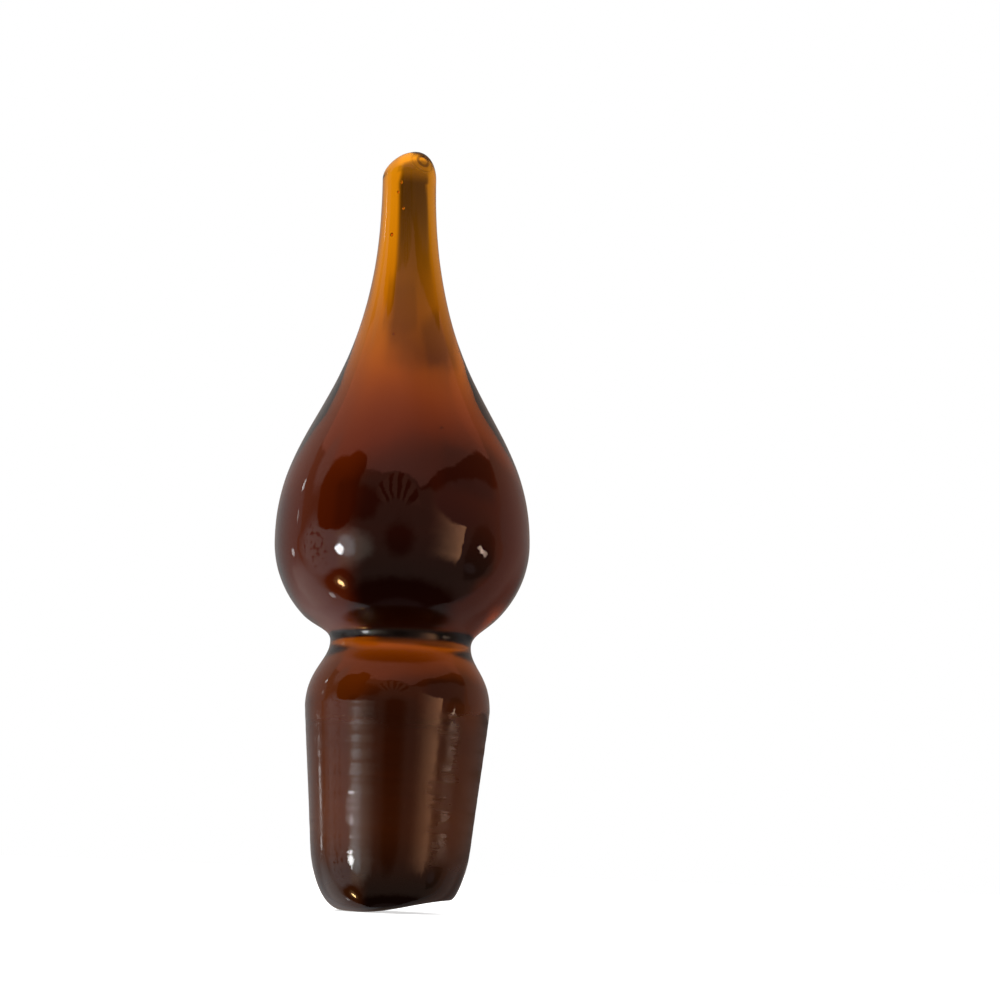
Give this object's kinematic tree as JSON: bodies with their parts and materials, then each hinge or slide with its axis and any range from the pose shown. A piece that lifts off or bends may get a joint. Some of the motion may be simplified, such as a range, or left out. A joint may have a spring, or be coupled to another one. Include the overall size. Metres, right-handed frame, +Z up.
{
  "type": "decanter stopper",
  "caption": "Solid amber glass decanter stopper: a pear-shaped bulb drawn out to a long round-ended tip, over a narrow waist and a tapered ground plug.",
  "frame": {"origin": "on the plug's axis in the plane of its widest ring, where the stopper seats in the decanter's neck", "axes": "+Z up along the plug's axis towards the finial, -Y towards the viewer of the picture, +X to the picture's right"},
  "size_m": [0.0367, 0.0366, 0.1114],
  "materials": {
    "fire_polished_amber_glass": "fire-polished, clear deep amber",
    "ground_amber_glass": "fine ground satin band between glossy ends, clear deep amber"
  },
  "bodies": {
    "root": {"finial": "fire_polished_amber_glass", "plug": "ground_amber_glass"}
  },
  "joints": []
}
